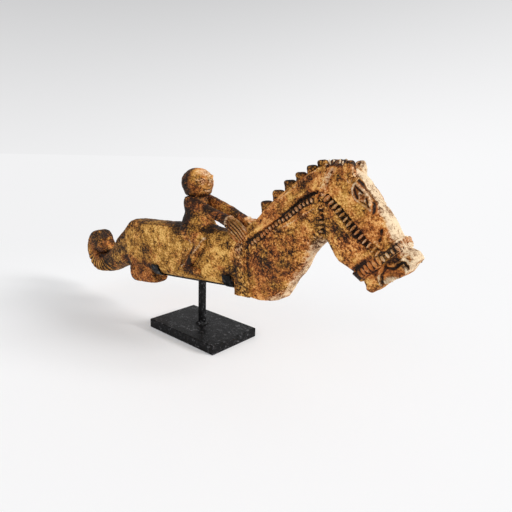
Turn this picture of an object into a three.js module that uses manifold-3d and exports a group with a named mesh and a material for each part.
// Wooden horse and rider figurine: a long carved horse with a scroll tail and a small rider,
// cradled on a black steel stand.
// Millimetres, +Z up, +X towards the horse's head. The origin is the centre of the plate's underside.

import * as THREE from 'three';
import { mergeVertices } from 'three/addons/utils/BufferGeometryUtils.js';
import Module from 'manifold-3d';

const wasm = await Module();
wasm.setup();

// Stand
const plateLength = 100;
const plateWidth = 64;
const plateThickness = 10;
const plateEdgeRound = 0.8;
const postSide = 6;
const postHeight = 49.4;
const weldLeg = 2.4;
const stripWidth = 12;
const stripThickness = 2;
const clipLength = 11;
const clipThickness = 2;
const clipRise = 12;
const rearClipLead = 9;

// How the carving sits on the stand
const pitchDegrees = 6;
const clearance = 0.3;

// Trunk, along u from the post and up w from the belly
const rumpReach = 114;
const shoulderReach = 60;
const croupHeight = 60.5;
const backHeight = 57.6;
const withersHeight = 50;
const trunkHalf = 17;
const trunkSquare = 3.6;

// Hind legs
const hindLegLength = 41;
const hindLegDrop = 11.6;
const hindSeamHeight = 8;
const hindLegHalf = 13.4;
const legCornerRound = 4;
const legEdgeRound = 1.5;

// Tail
const tailRootHalf = 15;
const tailSeatDrop = 5.3;
const scrollRadius = 28;
const scrollHalf = 12;
const scrollReach = 78;
const scrollHeight = 16.5;

// Forequarters and neck
const chestReach = 52;
const chestDrop = 8.6;
const neckReach = 97.5;
const pollHeight = 110;
const throatHeight = 51;
const chestHalf = 15.6;
const neckHalf = 13;
const foreLegWidth = 15;
const foreLegHeight = 44;
const foreLegProud = 1.6;
const foreLegInset = 3;
const hoofHeight = 7;
const hoofToe = 3;
const foreLegSetback = 3.5;

// Head, from the seam at the poll
const muzzleReach = 73;
const muzzleDrop = 70;
const muzzleDepth = 44;
const browHalf = 13.2;
const muzzleHalf = 12.4;
const earReach = 22.5;
const earHeight = 9.4;
const earRadius = 4.6;
const earSpread = 8.6;
const earSink = 3.5;

// Relief carved on both flanks
const reliefDepth = 1.2;
const nosebandDepth = 2.2;
const reinWidth = 9;
const strapWidth = 8;
const headstallWidth = 6.4;
const eyeLength = 24;
const eyeWidth = 8.5;
const eyeSlope = -43;

// Mane
const maneKnobs = 6;
const firstKnobReach = 32.4;
const lastKnobMargin = 6;
const knobRadius = 5.3;
const knobHeight = 7.6;
const knobTaper = 0.72;
const knobSink = 3;

// Rider
const seatReach = 2;
const torsoDepth = 22;
const torsoHalf = 14;
const shoulderRise = 28.5;
const riderHeadRadius = 15.4;
const armRadius = 5.9;
const handLength = 23.5;
const handReach = 8.2;
const handFall = -32;
const headLead = 4.4;
const legRelief = 3.6;
const hipDrop = 5;
const kneeReach = 24;
const kneeDrop = 15;
const ankleReach = 3;
const ankleDrop = 39;
const heelReach = 11;
const toeReach = 12;
const thighRadius = 8;
const kneeRadius = 6;
const ankleRadius = 4.4;
const footRadius = 3.6;

// Pegs that join the carved blocks
const neckTenonRadius = 9;
const tenonRadius = 7;
const tenonLength = 12;
const pegRadius = 2.4;
const pegLength = 7;
const riderPegRadius = 4.8;
const headPegRadius = 3.8;

// How finely the curved solids are cut
const ringPoints = 24;
const limbPoints = 14;
const torsoPoints = 18;
const ribSteps = 2;
const smallestStep = 0.04;
const clipSteps = 14;
const overrun = 2;
const wellClear = 60;

const pitch = THREE.MathUtils.degToRad(pitchDegrees);

const carvedWood = new THREE.MeshStandardMaterial({ color: 0xa8793a, roughness: 0.82, metalness: 0 });
const blackSteel = new THREE.MeshStandardMaterial({ color: 0x1d1e21, roughness: 0.5, metalness: 0.6 });

// Turns a geometry into a solid and a solid back into a geometry
function solid(geometry) {
  const bare = new THREE.BufferGeometry();
  bare.setAttribute('position', geometry.getAttribute('position').clone());
  if (geometry.index) bare.setIndex(geometry.index.clone());
  const merged = mergeVertices(bare, 1e-4);
  const triVerts = new Uint32Array(merged.index.array);
  const vertProperties = new Float32Array(merged.getAttribute('position').array);
  return new wasm.Manifold(new wasm.Mesh({ numProp: 3, vertProperties, triVerts }));
}

function shell(body) {
  const mesh = body.simplify(smallestStep).getMesh();
  const geometry = new THREE.BufferGeometry();
  geometry.setAttribute('position', new THREE.BufferAttribute(mesh.vertProperties, 3));
  geometry.setIndex(new THREE.BufferAttribute(mesh.triVerts, 1));
  geometry.computeVertexNormals();
  return geometry;
}

// A closed skin over a row of rings with a fan over each end
function skin(rings) {
  const size = rings[0].length;
  const middle = (ring) => ring.reduce((sum, p) => sum.add(p), new THREE.Vector3()).divideScalar(size);
  const points = [...rings.flat(), middle(rings[0]), middle(rings.at(-1))];
  const first = rings.length * size;
  const last = first + 1;
  const faces = [];
  for (let i = 0; i < size; i++) {
    const j = (i + 1) % size;
    for (let k = 0; k + 1 < rings.length; k++) {
      const a = k * size;
      const b = a + size;
      faces.push(a + i, b + i, b + j, a + i, b + j, a + j);
    }
    const end = (rings.length - 1) * size;
    faces.push(first, i, j, last, end + j, end + i);
  }
  const geometry = new THREE.BufferGeometry().setFromPoints(points);
  geometry.setIndex(faces);
  return volume(points, faces) < 0 ? flipped(geometry) : geometry;
}

function volume(points, faces) {
  let sum = 0;
  for (let i = 0; i < faces.length; i += 3) {
    const [a, b, c] = [points[faces[i]], points[faces[i + 1]], points[faces[i + 2]]];
    sum += a.dot(new THREE.Vector3().crossVectors(b, c));
  }
  return sum;
}

function flipped(geometry) {
  const faces = geometry.index.array;
  for (let i = 0; i < faces.length; i += 3) {
    [faces[i + 1], faces[i + 2]] = [faces[i + 2], faces[i + 1]];
  }
  return geometry;
}

// A rib is a rounded-square slice of a carved block: its low and high edge in the figure's
// plane, its half width, how square it is (2 is an ellipse), and the side its centre lies on
function rib(low, high, half, square = 3.4, side = 0) {
  return { low, high, half, square, side };
}

// A rib across a limb, from its centre, the limb's slope there and its reach each way
function across(u, w, slope, reach, half, side, square = 2.4) {
  const lean = THREE.MathUtils.degToRad(slope + 90);
  const du = reach * Math.cos(lean);
  const dw = reach * Math.sin(lean);
  return rib([u - du, w - dw], [u + du, w + dw], half, square, side);
}

function middleOf(slice) {
  return new THREE.Vector2((slice.low[0] + slice.high[0]) / 2, (slice.low[1] + slice.high[1]) / 2);
}

function ring(slice, count, grow, shift) {
  const run = new THREE.Vector2(slice.high[0] - slice.low[0], slice.high[1] - slice.low[1]);
  const reach = run.length() / 2 + grow;
  run.normalize();
  const centre = middleOf(slice).add(shift);
  const soft = (value) => Math.sign(value) * Math.abs(value) ** (2 / slice.square);
  const points = [];
  for (let i = 0; i < count; i++) {
    const angle = (2 * Math.PI * (i + 0.5)) / count;
    const rise = reach * soft(Math.sin(angle));
    const out = (slice.half + grow) * soft(Math.cos(angle));
    points.push(new THREE.Vector3(centre.x + run.x * rise, slice.side + out, centre.y + run.y * rise));
  }
  return points;
}

// Smooth ribs between the given ones
function between(ribs, steps) {
  const curve = (pick) => new THREE.CatmullRomCurve3(ribs.map((r) => new THREE.Vector3(...pick(r))));
  const lows = curve((r) => [r.low[0], r.low[1], r.half]);
  const highs = curve((r) => [r.high[0], r.high[1], r.square]);
  const sides = curve((r) => [r.low[0], r.low[1], r.side]);
  const count = (ribs.length - 1) * steps;
  return Array.from({ length: count + 1 }, (_, i) => {
    const low = lows.getPoint(i / count);
    const high = highs.getPoint(i / count);
    const side = sides.getPoint(i / count).z;
    return rib([low.x, low.y], [high.x, high.y], low.z, high.z, side);
  });
}

// The way out of the block at its first and last rib, and nowhere between
function outwards(slices, i, last) {
  if (i !== 0 && i !== last) return new THREE.Vector2();
  const slice = slices[i];
  const inside = middleOf(slices[i === 0 ? 1 : last - 1]);
  const normal = new THREE.Vector2(slice.high[1] - slice.low[1], slice.low[0] - slice.high[0]).normalize();
  return normal.dot(middleOf(slice).sub(inside)) < 0 ? normal.negate() : normal;
}

// A carved block over its ribs, grown by a clearance where it cuts its neighbour
function carved(ribs, { grow = 0, steps = ribSteps, count = ringPoints } = {}) {
  const slices = between(ribs, steps);
  const last = slices.length - 1;
  const shift = (i) => outwards(slices, i, last).multiplyScalar(grow);
  const rings = slices.map((slice, i) => ring(slice, count, grow, shift(i)));
  return solid(skin(rings));
}

// An outline in the figure's plane, carried through the figure from one flank to the other
function through(points, near, far) {
  const outline = new THREE.Shape(points.map(([u, w]) => new THREE.Vector2(u, w)));
  return throughShape(outline, near, far);
}

function throughShape(outline, near, far) {
  const sweep = { depth: far - near, bevelEnabled: false, curveSegments: 10 };
  const geometry = new THREE.ExtrudeGeometry(outline, sweep);
  geometry.rotateX(Math.PI / 2);
  geometry.translate(0, far, 0);
  return solid(geometry);
}

// A strap of one width along a line in the figure's plane, raised on both flanks
function strap(points, width, half) {
  const left = [];
  const right = [];
  points.forEach(([u, w], i) => {
    const before = points[Math.max(i - 1, 0)];
    const after = points[Math.min(i + 1, points.length - 1)];
    const run = new THREE.Vector2(after[0] - before[0], after[1] - before[1]).normalize();
    left.push([u - (run.y * width) / 2, w + (run.x * width) / 2]);
    right.unshift([u + (run.y * width) / 2, w - (run.x * width) / 2]);
  });
  return through([...left, ...right], -half, half);
}

// A round peg from a foot point, pointing up w, along u, or across
function peg(u, side, w, radius, length, lean) {
  const geometry = new THREE.CylinderGeometry(radius, radius, length, 20);
  geometry.rotateX(Math.PI / 2);
  geometry.translate(0, 0, length / 2);
  geometry.rotateY(lean);
  geometry.translate(u, side, w);
  return solid(geometry);
}

const upwards = 0;
const forwards = Math.PI / 2;
const backwards = -Math.PI / 2;
const downwards = Math.PI;

// A block with its corners at two opposite points
function block(from, to) {
  const size = to.map((value, i) => value - from[i]);
  const geometry = new THREE.BoxGeometry(...size);
  geometry.translate(...from.map((value, i) => value + size[i] / 2));
  return solid(geometry);
}

function mesh(name, body, material, parent) {
  const piece = new THREE.Mesh(body.isBufferGeometry ? body : shell(body), material);
  piece.name = name;
  parent.add(piece);
  return piece;
}

const group = new THREE.Group();
const figure = new THREE.Group();
figure.position.z = plateThickness + postHeight + (stripThickness + 2 * clearance) / Math.cos(pitch);
figure.rotation.y = -pitch;
group.add(figure);

// Stand: plate, post and weld stand square to the table
function roundedPlate(length, width, height, edge) {
  const outline = new THREE.Shape();
  const x = length / 2 - edge;
  const y = width / 2 - edge;
  outline.moveTo(-x, -y);
  outline.lineTo(x, -y);
  outline.lineTo(x, y);
  outline.lineTo(-x, y);
  const bevel = { bevelThickness: edge, bevelSize: edge, bevelSegments: 2 };
  const geometry = new THREE.ExtrudeGeometry(outline, { depth: height - 2 * edge, ...bevel });
  geometry.translate(0, 0, edge);
  return solid(geometry);
}

mesh('base_plate', roundedPlate(plateLength, plateWidth, plateThickness, plateEdgeRound), blackSteel, group);

// The post's top is cut at the pitch of the strip that it carries
const stripUnderside = -clearance - stripThickness;
const postTop = (x) => plateThickness + postHeight + x * Math.tan(pitch);
const postOutline = [
  [-postSide / 2, plateThickness],
  [postSide / 2, plateThickness],
  [postSide / 2, postTop(postSide / 2)],
  [-postSide / 2, postTop(-postSide / 2)],
];
mesh('post', through(postOutline, -postSide / 2, postSide / 2), blackSteel, group);

function weldBead() {
  const inner = postSide / 2 + clearance / 2;
  const outer = postSide / 2 + weldLeg;
  const foot = plateThickness;
  const corner = Math.SQRT2;
  const bead = new THREE.CylinderGeometry(inner * corner + 0.5, outer * corner, weldLeg, 4, 1);
  bead.rotateX(Math.PI / 2);
  bead.rotateZ(Math.PI / 4);
  bead.translate(0, 0, foot + weldLeg / 2);
  return solid(bead).subtract(block([-inner, -inner, foot - 1], [inner, inner, foot + weldLeg + 1]));
}
mesh('foot_weld', weldBead(), blackSteel, group);

// Trunk
const trunkRibs = [
  rib([-rumpReach, 4], [-rumpReach, croupHeight - 5], trunkHalf - 2.2, 3),
  rib([-rumpReach + 8, 1], [-rumpReach + 8, croupHeight - 0.5], trunkHalf - 0.8, 3.2),
  rib([-rumpReach + 20, 0], [-rumpReach + 20, croupHeight], trunkHalf, trunkSquare),
  rib([-rumpReach + 54, 0], [-rumpReach + 54, (croupHeight + backHeight) / 2], trunkHalf, trunkSquare),
  rib([-seatReach - 10, 0], [-seatReach - 10, backHeight], trunkHalf, trunkSquare),
  rib([shoulderReach / 2, 0], [shoulderReach / 2, (backHeight + withersHeight) / 2], trunkHalf, trunkSquare),
  rib([shoulderReach, 0], [shoulderReach, withersHeight], trunkHalf - 0.6, trunkSquare),
];
const trunkGrown = carved(trunkRibs, { grow: clearance });

const hindFront = -rumpReach + hindLegLength;
const neckTenonHeight = withersHeight / 2;
const tailTenonHeight = (hindSeamHeight + croupHeight - tailSeatDrop) / 2;
const hindPegs = [-rumpReach + hindLegLength / 3, -rumpReach + (2 * hindLegLength) / 3];
const hindPegSide = hindLegHalf / 2;

function trunk() {
  const rear = -rumpReach - overrun;
  const front = shoulderReach + overrun;
  const depth = tenonLength + overrun + clearance;
  const seatDepth = pegLength + overrun + clearance;
  const notch = block([rear, -wellClear, -wellClear], [hindFront + clearance, wellClear, hindSeamHeight]);
  const neckSocket = peg(front, 0, neckTenonHeight, neckTenonRadius + clearance, depth, backwards);
  const tailSocket = peg(rear, 0, tailTenonHeight, tenonRadius + clearance, depth, forwards);
  const seatSocket = peg(-seatReach, 0, backHeight + overrun, riderPegRadius + clearance, seatDepth, downwards);
  let body = carved(trunkRibs).subtract(notch).subtract(neckSocket).subtract(tailSocket).subtract(seatSocket);
  for (const u of hindPegs) {
    for (const side of [-hindPegSide, hindPegSide]) {
      body = body.subtract(peg(u, side, hindSeamHeight - overrun, pegRadius + clearance, seatDepth, upwards));
    }
  }
  return body;
}
mesh('trunk', trunk(), carvedWood, figure);

// Hind legs: stumps let into the underside of the rump
function hindLeg(side) {
  const outline = new THREE.Shape();
  const rear = -rumpReach;
  const r = legCornerRound;
  const bottom = -hindLegDrop;
  const top = hindSeamHeight + 2 * r;
  outline.moveTo(rear, top);
  outline.lineTo(rear, bottom + r);
  outline.quadraticCurveTo(rear, bottom, rear + r, bottom);
  outline.lineTo(hindFront - r, bottom);
  outline.quadraticCurveTo(hindFront, bottom, hindFront, bottom + r);
  outline.lineTo(hindFront, top);
  const inner = clearance / 2;
  const slab = throughShape(outline, inner, hindLegHalf);
  const edge = hindLegHalf - legEdgeRound;
  const rounding = carved([
    rib([rear - overrun, bottom], [rear - overrun, wellClear], edge, 4),
    rib([rear + hindLegLength / 2, bottom], [rear + hindLegLength / 2, wellClear], hindLegHalf, 4),
    rib([hindFront + overrun, bottom], [hindFront + overrun, wellClear], edge, 4),
  ]);
  const seam = hindSeamHeight - clearance;
  const above = block([rear - overrun, -wellClear, seam], [hindFront + overrun, wellClear, wellClear]);
  let body = slab.intersect(rounding).subtract(above);
  for (const u of hindPegs) {
    body = body.add(peg(u, hindPegSide, seam - overrun, pegRadius, pegLength + overrun, upwards));
  }
  return side < 0 ? body.mirror([0, 1, 0]) : body;
}
mesh('left_hind_leg', hindLeg(1), carvedWood, figure);
mesh('right_hind_leg', hindLeg(-1), carvedWood, figure);

// Tail: a band that leaves the rump, rolls up into a scroll and ends in a blunt tip.
// The low points run round the outside of the scroll, and the high points round its groove.
const tailSeat = -rumpReach - clearance;
const scrollCentre = [-rumpReach - scrollReach, scrollHeight];

function tail() {
  const [cu, cw] = scrollCentre;
  const round = (degrees) => {
    const angle = THREE.MathUtils.degToRad(degrees);
    return [cu + scrollRadius * Math.cos(angle), cw + scrollRadius * Math.sin(angle)];
  };
  const bandTop = [cu + scrollRadius / 2, cw - 1.8];
  const seatTop = croupHeight - tailSeatDrop;
  const dipU = (tailSeat - 38 + cu) / 2 + 4;
  const band = carved([
    rib([tailSeat, hindSeamHeight], [tailSeat, seatTop], tailRootHalf, 3),
    rib([tailSeat - 8, hindSeamHeight - 2.5], [tailSeat - 12.5, seatTop - 7.4], tailRootHalf - 0.8, 3),
    rib([tailSeat - 22, 1.8], [tailSeat - 26.5, seatTop - 16.5], (tailRootHalf + scrollHalf) / 2, 3),
    rib([tailSeat - 38, -3.6], [tailSeat - 39.5, bandTop[1] + 14.6], scrollHalf + 0.4, 2.8),
    rib([dipU, cw - scrollRadius + 2.6], [bandTop[0] + 12, bandTop[1] + 6.8], scrollHalf, 2.7),
    rib(round(-78), bandTop, scrollHalf, 3.2),
    rib(round(-108), [cu + 5, cw - 3.9], scrollHalf, 3.8),
    rib(round(-142), [cu - 0.8, cw - 3.3], scrollHalf, 3.8),
    rib(round(-178), [cu - 2.4, cw - 2.2], scrollHalf, 3.8),
    rib(round(-214), [cu - 2.2, cw - 1.2], scrollHalf, 3.8),
    rib(round(-246), [cu - 0.6, cw - 1.1], scrollHalf, 3.8),
    rib(round(-272), [cu + 3, cw - 1.9], scrollHalf, 3.8),
    rib(round(-290), [cu + 9, cw - 1.4], scrollHalf, 3.8),
    rib(round(-306), [cu + scrollRadius / 2 + 1.5, cw + 0.8], scrollHalf, 3.4),
  ]);
  return band.add(peg(tailSeat - overrun, 0, tailTenonHeight, tenonRadius, tenonLength + overrun, forwards));
}
mesh('tail', tail(), carvedWood, figure);

// Forequarters, chest and neck in one block, up to the seam at the poll
const neckSeat = shoulderReach + clearance;
const pollSeam = shoulderReach + neckReach;
const chestFront = shoulderReach + chestReach;
const neckRibs = [
  rib([neckSeat, -3.5], [neckSeat, withersHeight], chestHalf, 4),
  rib([neckSeat + 16, 0.5 - chestDrop], [neckSeat + 9, withersHeight + 4], chestHalf + 0.4, 3.8),
  rib([chestFront - 15, -chestDrop], [neckSeat + 18, withersHeight + 11.5], chestHalf, 3.4),
  rib([chestFront, -4], [neckSeat + 29, withersHeight + 21], chestHalf - 0.6, 3.1),
  rib([chestFront + 8.5, 11], [neckSeat + 42, withersHeight + 30.5], neckHalf + 0.9, 2.9),
  rib([chestFront + 20, 26], [neckSeat + 57, withersHeight + 41], neckHalf + 0.4, 2.7),
  rib([pollSeam - 15, 38.5], [pollSeam - 26, pollHeight - 11.2], neckHalf, 2.7),
  rib([pollSeam - 6, throatHeight - 5], [pollSeam - 12.5, pollHeight - 4.6], neckHalf, 2.7),
  rib([pollSeam, throatHeight], [pollSeam, pollHeight], neckHalf, 2.7),
];
const ridge = (ribs) => new THREE.CatmullRomCurve3(ribs.map((r) => new THREE.Vector3(r.high[0], 0, r.high[1])));
const crest = ridge(neckRibs);
const neckGrown = carved(neckRibs, { grow: clearance });
const headTenonHeight = (throatHeight + pollHeight) / 2;

// The height of a ridge at one place along u
function heightAt(line, u) {
  let low = 0;
  let high = 1;
  for (let i = 0; i < 30; i++) {
    const middle = (low + high) / 2;
    if (line.getPoint(middle).x < u) low = middle;
    else high = middle;
  }
  return line.getPoint(low).z;
}

// The knobs stand upright on the crest, closer and smaller towards the poll
function knobPlace(index) {
  const share = index / (maneKnobs - 1);
  const first = neckSeat + firstKnobReach;
  const last = pollSeam - lastKnobMargin;
  const u = first + (last - first) * (1.19 * share - 0.19 * share ** 2);
  return { u, w: heightAt(crest, u), size: 1 - (1 - knobTaper) * share };
}

const foreLegRear = neckSeat + foreLegSetback;
const foreLegBottom = -chestDrop + 3.5;
const foreLegOut = chestHalf + foreLegProud;
const foreLegIn = chestHalf - foreLegInset;

function foreLegOutline(grow) {
  const outline = new THREE.Shape();
  const rear = foreLegRear - grow;
  const front = foreLegRear + foreLegWidth + grow;
  const bottom = foreLegBottom - grow;
  const top = foreLegBottom + foreLegHeight + grow;
  const middle = (rear + front) / 2;
  const shoulder = top - foreLegWidth / 2;
  outline.moveTo(rear, bottom);
  outline.lineTo(front + hoofToe, bottom);
  outline.lineTo(front + hoofToe, bottom + hoofHeight);
  outline.lineTo(front, bottom + hoofHeight + hoofToe);
  outline.lineTo(front, shoulder);
  outline.quadraticCurveTo(middle, top + foreLegWidth / 2, rear, shoulder);
  return outline;
}

function reinLine() {
  const start = [neckSeat + 12, withersHeight - 6];
  const end = rosettePlace();
  return [start, [(start[0] + end[0]) / 2, (start[1] + end[1]) / 2 - 1.5], end];
}

function rosettePlace() {
  return [pollSeam - 1, headTenonHeight + 3];
}

function neck() {
  const depth = tenonLength + overrun;
  const tenon = peg(neckSeat + overrun, 0, neckTenonHeight, neckTenonRadius, depth, backwards);
  const socketFoot = pollSeam + overrun;
  const headSocket = peg(socketFoot, 0, headTenonHeight, tenonRadius + clearance, depth + clearance, backwards);
  const beyond = block([pollSeam, -wellClear, -wellClear], [pollSeam + wellClear, wellClear, 2 * pollHeight]);
  const proud = carved(neckRibs, { grow: reliefDepth });
  const rein = strap(reinLine(), reinWidth, chestHalf * 2).intersect(proud).subtract(beyond);
  let body = carved(neckRibs).add(rein).add(tenon).subtract(headSocket);
  for (let i = 0; i < maneKnobs; i++) {
    body = body.subtract(knobHole(i, clearance));
  }
  for (const side of [-1, 1]) {
    const near = side < 0 ? -foreLegOut - overrun : foreLegIn - clearance;
    const far = side < 0 ? -foreLegIn + clearance : foreLegOut + overrun;
    body = body.subtract(throughShape(foreLegOutline(clearance), near, far));
  }
  return body;
}
mesh('neck', neck(), carvedWood, figure);

// Forelegs: raised columns let into the flanks of the forequarters
function foreLeg(side) {
  const near = side < 0 ? -foreLegOut : foreLegIn;
  const far = side < 0 ? -foreLegIn : foreLegOut;
  return throughShape(foreLegOutline(0), near, far);
}
mesh('left_foreleg', foreLeg(1), carvedWood, figure);
mesh('right_foreleg', foreLeg(-1), carvedWood, figure);

// Mane knobs: mushroom pegs in holes along the crest
function knobGeometry(radius, height, shank) {
  const profile = [
    [0, -pegLength], [shank, -pegLength], [shank, -knobSink], [radius * 0.94, -knobSink],
    [radius * 0.9, height * 0.25], [radius, height * 0.55], [radius * 0.94, height * 0.85],
    [radius * 0.6, height], [0, height],
  ];
  const turned = new THREE.LatheGeometry(profile.map(([r, h]) => new THREE.Vector2(r, h)), 16);
  turned.rotateX(Math.PI / 2);
  return turned;
}

function knobHole(index, gap) {
  const { u, w, size } = knobPlace(index);
  return peg(u, 0, w - pegLength - gap, pegRadius * size + gap, wellClear, upwards);
}

for (let i = 0; i < maneKnobs; i++) {
  const { u, w, size } = knobPlace(i);
  const turned = knobGeometry(knobRadius * size, knobHeight * size, pegRadius * size);
  const knob = solid(turned).translate(u, 0, w).subtract(neckGrown.subtract(knobHole(i, clearance / 2)));
  mesh(`mane_knob_${i + 1}`, knob, carvedWood, figure);
}

// Head
const headSeat = pollSeam + clearance;
const muzzleHigh = [headSeat + muzzleReach, pollHeight - muzzleDrop];
const muzzleLow = [muzzleHigh[0] - muzzleDepth * 0.79, muzzleHigh[1] - muzzleDepth * 0.61];
const headRibs = [
  rib([headSeat, throatHeight], [headSeat, pollHeight], neckHalf, 2.8),
  rib([headSeat + 5, throatHeight - 4], [headSeat + 12, pollHeight + 1], browHalf, 2.9),
  rib([headSeat + 12, throatHeight - 10.5], [headSeat + 23, pollHeight - 5.5], browHalf, 3),
  rib([headSeat + 19, throatHeight - 17.5], [headSeat + 33, pollHeight - 15], browHalf, 3.1),
  rib([headSeat + 26, throatHeight - 24.5], [headSeat + 43.5, pollHeight - 30], browHalf - 0.2, 3.2),
  rib([headSeat + 31.5, throatHeight - 29], [headSeat + 51, pollHeight - 42], muzzleHalf + 0.4, 3.2),
  rib([headSeat + 35, throatHeight - 33.5], [headSeat + 57.5, pollHeight - 53.5], muzzleHalf, 3.2),
  rib([muzzleLow[0] - 3, muzzleLow[1] + 1.5], [muzzleHigh[0] - 7, muzzleHigh[1] + 10], muzzleHalf + 0.4, 3.1),
  rib(muzzleLow, muzzleHigh, muzzleHalf - 1.2, 3),
];
const browLine = ridge(headRibs);
const headGrown = carved(headRibs, { grow: clearance });

function almond(cu, cw, length, width, slope) {
  const outline = new THREE.Shape();
  const turn = THREE.MathUtils.degToRad(slope);
  const [along, rise] = [Math.cos(turn), Math.sin(turn)];
  const at = (a, b) => [cu + a * along - b * rise, cw + a * rise + b * along];
  outline.moveTo(...at(-length / 2, 0));
  outline.quadraticCurveTo(...at(0, width), ...at(length / 2, 0));
  outline.quadraticCurveTo(...at(0, -width), ...at(-length / 2, 0));
  return outline;
}

function head() {
  const reach = browHalf * 2;
  const [ru, rw] = rosettePlace();
  const noseLow = [headSeat + 26, throatHeight - 29];
  const noseHigh = [headSeat + 65, pollHeight - 56.5];
  const cheekEnd = [(noseLow[0] + noseHigh[0]) / 2 + 3, (noseLow[1] + noseHigh[1]) / 2 + 4];
  const cheekStrap = strap([[ru + 1, rw - 1], cheekEnd], strapWidth, reach);
  const headstall = strap([[ru + 2, rw], [headSeat + 9, pollHeight + 5]], headstallWidth, reach);
  const lids = almond(headSeat + 33.5, pollHeight - 24.5, eyeLength, eyeWidth, eyeSlope);
  const eye = throughShape(lids, -reach, reach);
  const behind = block([-wellClear, -wellClear, -wellClear], [headSeat, wellClear, 2 * pollHeight]);
  const low = carved(headRibs, { grow: reliefDepth }).subtract(behind);
  const high = carved(headRibs, { grow: nosebandDepth }).subtract(behind);
  const noseband = strap([noseLow, noseHigh], strapWidth, reach).intersect(high);
  const straps = cheekStrap.add(eye).intersect(low).add(headstall.intersect(high)).add(noseband);
  const tenon = peg(headSeat + overrun, 0, headTenonHeight, tenonRadius, tenonLength + overrun, backwards);
  let body = carved(headRibs).add(straps).add(tenon);
  for (const side of [-1, 1]) body = body.subtract(earHole(side, clearance));
  return body;
}
mesh('head', head(), carvedWood, figure);

// Ears: round-topped pegs on the brow
function earPlace() {
  const u = headSeat + earReach;
  return [u, heightAt(browLine, u)];
}

function earHole(side, gap) {
  const [u, w] = earPlace();
  return peg(u, side * earSpread, w - earSink - pegLength - gap, pegRadius + gap, wellClear, upwards);
}

function ear(side) {
  const [u, w] = earPlace();
  const foot = w - earSink;
  const upper = knobGeometry(earRadius, earHeight, pegRadius);
  const body = solid(upper).translate(u, side * earSpread, foot);
  return body.subtract(headGrown.subtract(earHole(side, clearance / 2)));
}
mesh('left_ear', ear(1), carvedWood, figure);
mesh('right_ear', ear(-1), carvedWood, figure);

// Clips: straps bent to the belly, one at each end of the cradle strip
function clip(rear) {
  const front = rear + clipLength;
  const height = Math.min(trunkHeightAt(rear), trunkHeightAt(front));
  const outline = new THREE.Shape();
  const inner = clearance;
  const outer = clearance + clipThickness;
  const arc = (grow, i) => {
    const angle = clipAngle(height, grow) * ((2 * i) / clipSteps - 1);
    return bellyPoint(height, grow, angle);
  };
  for (let i = 0; i <= clipSteps; i++) {
    const [side, w] = arc(inner, i);
    if (i === 0) outline.moveTo(side, w);
    else outline.lineTo(side, w);
  }
  for (let i = clipSteps; i >= 0; i--) outline.lineTo(...arc(outer, i));
  const geometry = new THREE.ExtrudeGeometry(outline, { depth: clipLength, bevelEnabled: false });
  geometry.rotateX(Math.PI / 2);
  geometry.rotateZ(Math.PI / 2);
  geometry.translate(rear, 0, 0);
  return solid(geometry);
}

// The trunk's height at one place along it, from its own ribs
function trunkHeightAt(u) {
  const slices = between(trunkRibs, ribSteps);
  const next = Math.max(1, slices.findIndex((slice) => slice.low[0] > u));
  const [a, b] = [slices[next - 1], slices[next]];
  const share = (u - a.low[0]) / (b.low[0] - a.low[0]);
  return a.high[1] + (b.high[1] - a.high[1]) * share;
}

function bellyPoint(height, grow, angle) {
  const soft = (value) => Math.sign(value) * Math.abs(value) ** (2 / trunkSquare);
  const side = (trunkHalf + grow) * soft(Math.sin(angle));
  const w = height / 2 - (height / 2 + grow) * soft(Math.cos(angle));
  return [side, w];
}

function clipAngle(height, grow) {
  const drop = (height / 2 - clipRise) / (height / 2 + grow);
  return Math.acos(drop ** (trunkSquare / 2));
}

const frontClipRear = shoulderReach - 2 * clearance - clipLength;
const rearClipRear = hindFront + rearClipLead;
mesh('front_clip', clip(frontClipRear), blackSteel, figure);
mesh('rear_clip', clip(rearClipRear), blackSteel, figure);

const stripRear = rearClipRear + clipLength + clearance;
const stripFront = frontClipRear - clearance;
const halfStrip = stripWidth / 2;
const stripBody = block([stripRear, -halfStrip, stripUnderside], [stripFront, halfStrip, -clearance]);
mesh('cradle_strip', stripBody, blackSteel, figure);

// Rider
const seatU = -seatReach;
const shoulderHeight = backHeight + shoulderRise;
const halfDepth = torsoDepth / 2;
const torsoRibs = [
  rib([seatU - halfDepth - 6, backHeight - 6], [seatU + halfDepth + 9, backHeight - 6], torsoHalf + 3, 2.8),
  rib([seatU - halfDepth - 4.5, backHeight + 2], [seatU + halfDepth + 7, backHeight + 2], torsoHalf + 1.5, 2.6),
  rib([seatU - halfDepth, backHeight + 13], [seatU + halfDepth + 1, backHeight + 13], torsoHalf - 1.5, 2.5),
  rib([seatU - halfDepth + 1, shoulderHeight - 6], [seatU + halfDepth, shoulderHeight - 6], torsoHalf, 2.6),
  rib([seatU - halfDepth + 3, shoulderHeight], [seatU + halfDepth - 2, shoulderHeight], torsoHalf - 3, 2.4),
];
const torsoGrown = carved(torsoRibs, { grow: clearance, count: torsoPoints });

function torso() {
  const seatPeg = peg(seatU, 0, backHeight + overrun, riderPegRadius, pegLength + overrun, downwards);
  const foothold = shoulderHeight - overrun;
  const neckPeg = peg(seatU + headLead / 2, 0, foothold, headPegRadius, pegLength + overrun, upwards);
  return carved(torsoRibs, { count: torsoPoints }).subtract(trunkGrown).add(seatPeg).add(neckPeg);
}
mesh('rider_torso', torso(), carvedWood, figure);

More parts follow.
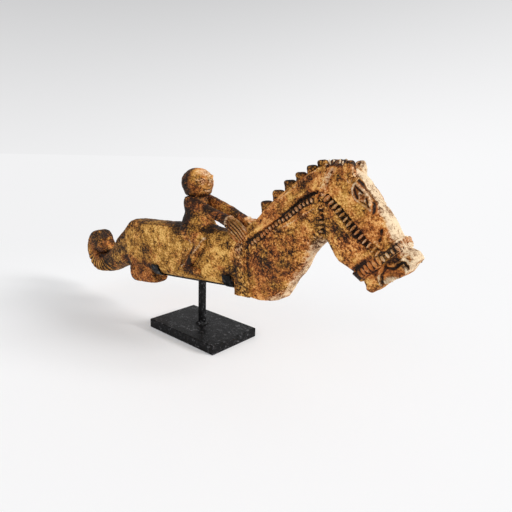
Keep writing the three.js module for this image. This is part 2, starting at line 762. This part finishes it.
function riderHead() {
  const profile = [[0, -1]];
  const steps = 9;
  const r = riderHeadRadius;
  for (let i = 0; i <= steps; i++) {
    const angle = (Math.PI * (i + 1.2)) / (steps + 1.2) - Math.PI / 2;
    profile.push([Math.cos(angle), Math.sin(angle)]);
  }
  profile[0][1] = profile[1][1];
  profile[profile.length - 1] = [0, 1];
  const outline = profile.map(([a, b]) => new THREE.Vector2(a * r, b * r * 0.97));
  const turned = new THREE.LatheGeometry(outline, 28);
  turned.rotateX(Math.PI / 2);
  const foot = outline[0].y;
  const skull = solid(turned).translate(seatU + headLead, 0, shoulderHeight + clearance - foot);
  const foothold = shoulderHeight - overrun;
  const depth = pegLength + overrun + clearance;
  return skull.subtract(peg(seatU + headLead / 2, 0, foothold, headPegRadius + clearance, depth, upwards));
}
mesh('rider_head', riderHead(), carvedWood, figure);

function partWay(from, to, t) {
  return [from[0] + (to[0] - from[0]) * t, from[1] + (to[1] - from[1]) * t];
}

// Arms run straight down to the neck, where the hands grip the rein
function arm(side) {
  const shoulder = [seatU + 4, shoulderHeight - 4.6];
  const wrist = [neckSeat - 5.5, withersHeight + 12.4];
  const slope = THREE.MathUtils.radToDeg(Math.atan2(wrist[1] - shoulder[1], wrist[0] - shoulder[0]));
  const shoulderSide = torsoHalf - 1;
  const handSide = chestHalf - 2.8;
  const du = Math.cos(THREE.MathUtils.degToRad(handFall)) * handLength;
  const dw = Math.sin(THREE.MathUtils.degToRad(handFall)) * handLength;
  const sideAt = (t) => side * (shoulderSide + (handSide - shoulderSide) * t);
  const at = (t, reach, half) => across(...partWay(shoulder, wrist, t), slope, reach, half, sideAt(t));
  const hand = (t, reach, half) =>
    across(wrist[0] + du * t, wrist[1] + dw * t, handFall, reach, half, side * (handSide + 0.5 * t), 2.8);
  const ribs = [
    at(-0.08, 2.4, 2.2), at(-0.03, armRadius - 0.3, armRadius - 0.9), at(0.06, armRadius + 0.3, armRadius),
    at(0.35, armRadius, armRadius - 0.3), at(0.7, armRadius - 0.4, armRadius - 0.6),
    at(1, armRadius - 0.4, armRadius - 0.8), hand(0.25, handReach - 0.8, 4.8), hand(0.6, handReach, 4.6),
    hand(0.92, handReach - 1.2, 4), hand(1, handReach - 3.6, 2.4),
  ];
  const limb = carved(ribs, { count: limbPoints });
  const neckAndRein = carved(neckRibs, { grow: reliefDepth + clearance });
  return limb.subtract(torsoGrown).subtract(neckAndRein).subtract(trunkGrown);
}

// Legs hang on the flanks, bent at the knee
function riderLeg(side) {
  const y = side * (trunkHalf - 0.4);
  const hip = [seatU - seatReach, backHeight - hipDrop];
  const knee = [seatU + kneeReach, backHeight - kneeDrop];
  const ankle = [seatU + ankleReach, backHeight - ankleDrop];
  const limb = (from, to, start, end, depth) => {
    const slope = THREE.MathUtils.radToDeg(Math.atan2(to[1] - from[1], to[0] - from[0]));
    const place = (t) => partWay(from, to, t);
    return carved([
      across(...place(-0.14), slope, start * 0.45, depth * 0.6, y),
      across(...place(-0.05), slope, start * 0.9, depth, y),
      across(...place(0.5), slope, (start + end) / 2, depth, y),
      across(...place(1.05), slope, end * 0.9, depth, y),
      across(...place(1.14), slope, end * 0.45, depth * 0.6, y),
    ], { count: limbPoints });
  };
  const heel = [ankle[0] - heelReach, ankle[1] - ankleRadius];
  const toe = [ankle[0] + toeReach, ankle[1] - 1.5 * ankleRadius];
  const thigh = limb(hip, knee, thighRadius, kneeRadius, legRelief + clearance);
  const shin = limb(knee, ankle, kneeRadius, ankleRadius, legRelief + clearance);
  const foot = limb(heel, toe, footRadius, footRadius, legRelief + 2 * clearance);
  return thigh.add(shin).add(foot).subtract(trunkGrown).subtract(torsoGrown);
}

for (const [name, side] of [['left', 1], ['right', -1]]) {
  mesh(`rider_${name}_arm`, arm(side), carvedWood, figure);
  mesh(`rider_${name}_leg`, riderLeg(side), carvedWood, figure);
}

export default group;
